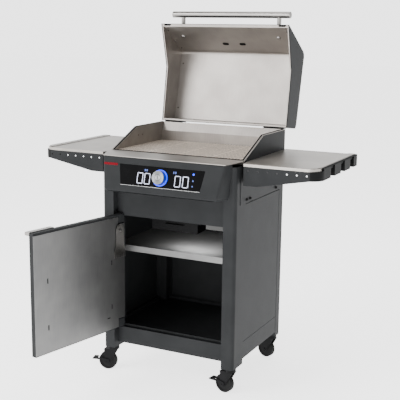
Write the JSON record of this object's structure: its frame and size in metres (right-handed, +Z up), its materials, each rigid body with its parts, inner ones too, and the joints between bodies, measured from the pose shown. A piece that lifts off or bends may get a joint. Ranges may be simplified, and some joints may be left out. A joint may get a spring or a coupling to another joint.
{
  "type": "electric grill cabinet cart",
  "caption": "Electric grill on a cabinet cart with folding-sheet body, open hood, open door, side shelves and swivel casters.",
  "frame": {"origin": "on the floor, midway between the outer faces of the four legs", "axes": "+X towards the right side shelf seen from the front, +Y from the door to the rear panel, +Z up"},
  "size_m": [1.19, 1.097, 1.4567],
  "materials": {
    "charcoal_paint": "satin powder coat",
    "brushed_stainless": "brushed",
    "warm_steel": "heat-tinted satin",
    "black_enamel": "gloss enamel",
    "black_plastic": "fine grain",
    "black_steel": "semi-gloss",
    "brake_plastic": "matte",
    "wheel_rubber": "matte",
    "smoked_glass": "polished",
    "turned_aluminium": "turned",
    "ring_light": "clear, lit blue",
    "circuit_board": "solder mask",
    "gasket_braid": "woven glass fibre"
  },
  "bodies": {
    "cart": {"back_panel": "charcoal_paint", "bottom_rails": "charcoal_paint", "caster_stems": "black_steel", "control_board": "circuit_board", "control_housing": "charcoal_paint", "display_glass": "smoked_glass", "door_catch": "brushed_stainless", "door_hinge_brackets": "charcoal_paint", "firebox_liner": "brushed_stainless", "firebox_shell": "charcoal_paint", "floor_pan": "charcoal_paint", "front_deck": "brushed_stainless", "front_panel": "charcoal_paint", "heat_reflector": "brushed_stainless", "heating_elements": "warm_steel", "knob_ring": "ring_light", "leg_front_left": "charcoal_paint", "leg_front_right": "charcoal_paint", "lid_hinge_brackets": "charcoal_paint", "middle_shelf": "brushed_stainless", "power_inlet": "black_plastic", "rear_legs": "charcoal_paint", "rim_gasket": "gasket_braid", "screws": "black_steel", "shelf_apron_left": "charcoal_paint", "shelf_apron_right": "charcoal_paint", "shelf_end_cap_left": "black_plastic", "shelf_end_cap_right": "black_plastic", "shelf_top_left": "brushed_stainless", "shelf_top_right": "brushed_stainless", "side_casings": "charcoal_paint", "side_panel_left": "charcoal_paint", "side_panel_right": "charcoal_paint", "tray_rails": "charcoal_paint"},
    "lid": {"lid_shell": "charcoal_paint", "lid_end_plates": "charcoal_paint", "lid_liner": "brushed_stainless", "lid_handle": "brushed_stainless", "lid_handle_posts": "brushed_stainless", "lid_hinge_leaves": "charcoal_paint"},
    "door": {"door_skin": "charcoal_paint", "door_inner_panel": "brushed_stainless", "door_handle": "brushed_stainless"},
    "scraper": {"scraper": "brushed_stainless"},
    "knob": {"control_knob": "turned_aluminium"},
    "tray": {"grease_tray": "black_enamel"},
    "grate_1": {"grate_1": "warm_steel"},
    "grate_2": {"grate_2": "warm_steel"},
    "grate_3": {"grate_3": "warm_steel"},
    "grate_4": {"grate_4": "warm_steel"},
    "caster_front_left": {"caster_fork_front_left": "black_steel"},
    "wheel_front_left": {"caster_wheel_front_left": "wheel_rubber"},
    "brake_front_left": {"caster_brake_front_left": "brake_plastic"},
    "caster_front_right": {"caster_fork_front_right": "black_steel"},
    "wheel_front_right": {"caster_wheel_front_right": "wheel_rubber"},
    "brake_front_right": {"caster_brake_front_right": "brake_plastic"},
    "caster_rear_left": {"caster_fork_rear_left": "black_steel"},
    "wheel_rear_left": {"caster_wheel_rear_left": "wheel_rubber"},
    "caster_rear_right": {"caster_fork_rear_right": "black_steel"},
    "wheel_rear_right": {"caster_wheel_rear_right": "wheel_rubber"}
  },
  "joints": [
    {"name": "lid_hinge", "type": "hinge", "parent": "cart", "child": "lid", "pos_m": [0, 0.243, 0.987], "axis": [-1, 0, 0], "range_deg": [-99, 0]},
    {"name": "door_hinge", "type": "hinge", "parent": "cart", "child": "door", "pos_m": [-0.2205, -0.225, 0.433], "axis": [0, 0, -1], "range_deg": [-102, 0]},
    {"name": "knob_turn", "type": "hinge", "parent": "cart", "child": "knob", "pos_m": [0, -0.29414, 0.83646], "axis": [0, -0.971, 0.2391], "continuous": true},
    {"name": "grease_tray_slide", "type": "slide", "parent": "cart", "child": "tray", "axis": [0, -1, 0], "range_m": [0, 0.25]},
    {"name": "grate_1_lift", "type": "slide", "parent": "cart", "child": "grate_1", "axis": [0, 0, 1], "range_m": [0, 0.15]},
    {"name": "grate_2_lift", "type": "slide", "parent": "cart", "child": "grate_2", "axis": [0, 0, 1], "range_m": [0, 0.15]},
    {"name": "grate_3_lift", "type": "slide", "parent": "cart", "child": "grate_3", "axis": [0, 0, 1], "range_m": [0, 0.15]},
    {"name": "grate_4_lift", "type": "slide", "parent": "cart", "child": "grate_4", "axis": [0, 0, 1], "range_m": [0, 0.15]},
    {"name": "scraper_lift_off", "type": "slide", "parent": "door", "child": "scraper", "axis": [0.9781, -0.2079, 0], "range_m": [0, 0.05]},
    {"name": "caster_swivel_front_left", "type": "hinge", "parent": "cart", "child": "caster_front_left", "pos_m": [-0.263, -0.204, 0.08], "axis": [0, 0, 1], "continuous": true},
    {"name": "wheel_spin_front_left", "type": "hinge", "parent": "caster_front_left", "child": "wheel_front_left", "pos_m": [-0.28908, -0.21099, 0.0375], "axis": [0.2588, -0.9659, 0], "continuous": true},
    {"name": "brake_lever_front_left", "type": "hinge", "parent": "caster_front_left", "child": "brake_front_left", "pos_m": [-0.28908, -0.21099, 0.0375], "axis": [0.2588, -0.9659, 0], "range_deg": [-14, 0]},
    {"name": "caster_swivel_front_right", "type": "hinge", "parent": "cart", "child": "caster_front_right", "pos_m": [0.263, -0.204, 0.08], "axis": [0, 0, 1], "continuous": true},
    {"name": "wheel_spin_front_right", "type": "hinge", "parent": "caster_front_right", "child": "wheel_front_right", "pos_m": [0.23641, -0.19931, 0.0375], "axis": [-0.1736, -0.9848, 0], "continuous": true},
    {"name": "brake_lever_front_right", "type": "hinge", "parent": "caster_front_right", "child": "brake_front_right", "pos_m": [0.23641, -0.19931, 0.0375], "axis": [-0.1736, -0.9848, 0], "range_deg": [-14, 0]},
    {"name": "caster_swivel_rear_left", "type": "hinge", "parent": "cart", "child": "caster_rear_left", "pos_m": [-0.263, 0.218, 0.08], "axis": [0, 0, 1], "continuous": true},
    {"name": "wheel_spin_rear_left", "type": "hinge", "parent": "caster_rear_left", "child": "wheel_rear_left", "pos_m": [-0.2899, 0.21565, 0.0375], "axis": [0.0872, -0.9962, 0], "continuous": true},
    {"name": "caster_swivel_rear_right", "type": "hinge", "parent": "cart", "child": "caster_rear_right", "pos_m": [0.263, 0.218, 0.08], "axis": [0, 0, 1], "continuous": true},
    {"name": "wheel_spin_rear_right", "type": "hinge", "parent": "caster_rear_right", "child": "wheel_rear_right", "pos_m": [0.23692, 0.22499, 0.0375], "axis": [-0.2588, -0.9659, 0], "continuous": true}
  ]
}
